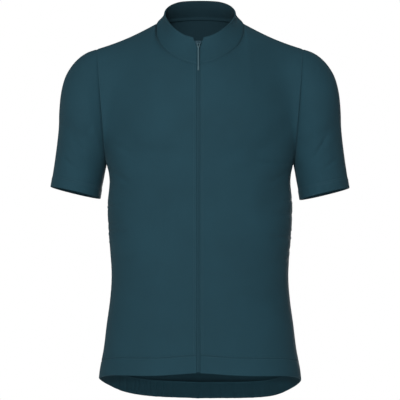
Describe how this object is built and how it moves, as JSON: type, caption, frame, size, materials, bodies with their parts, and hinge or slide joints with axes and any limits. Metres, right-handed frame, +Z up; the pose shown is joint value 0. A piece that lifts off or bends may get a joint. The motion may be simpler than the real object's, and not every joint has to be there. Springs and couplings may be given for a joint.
{
  "type": "cycling jersey",
  "caption": "Short-sleeved cycling jersey in its worn, filled-out form, with a stand collar, a full-length front zip, rear pockets and a dropped tail.",
  "frame": {"origin": "middle of the neck base, on the line between the shoulders that carry the garment", "axes": "+Z up towards the collar, -Y towards the front zip, +X towards the wearer's left sleeve"},
  "size_m": [0.5464, 0.2349, 0.7465],
  "materials": {
    "knit": "fine matte stretch knit, dark petrol blue, faint sheen",
    "collar_knit": "doubled fine knit, dark petrol blue",
    "elastic_band": "ribbed elastic knit band, dark petrol blue",
    "zip_coil": "dyed nylon coil and tape, dull",
    "zip_metal": "satin paint in a slightly lighter petrol blue"
  },
  "bodies": {
    "jersey": {"front_right": "knit", "front_left": "knit", "front_hem_band_right": "knit", "front_hem_band_left": "knit", "sleeve_right": "knit", "sleeve_left": "knit", "back": "knit", "rear_pockets": "knit", "collar": "collar_knit", "tail_band": "elastic_band", "zip": "zip_coil", "zip_slider": "zip_metal"},
    "pull": {"zip_pull": "zip_metal"}
  },
  "joints": [
    {"name": "pull_swing", "type": "hinge", "parent": "jersey", "child": "pull", "pos_m": [-0.003, -0.07008, -0.01129], "axis": [-1, 0, 0], "range_deg": [0, 150]}
  ]
}
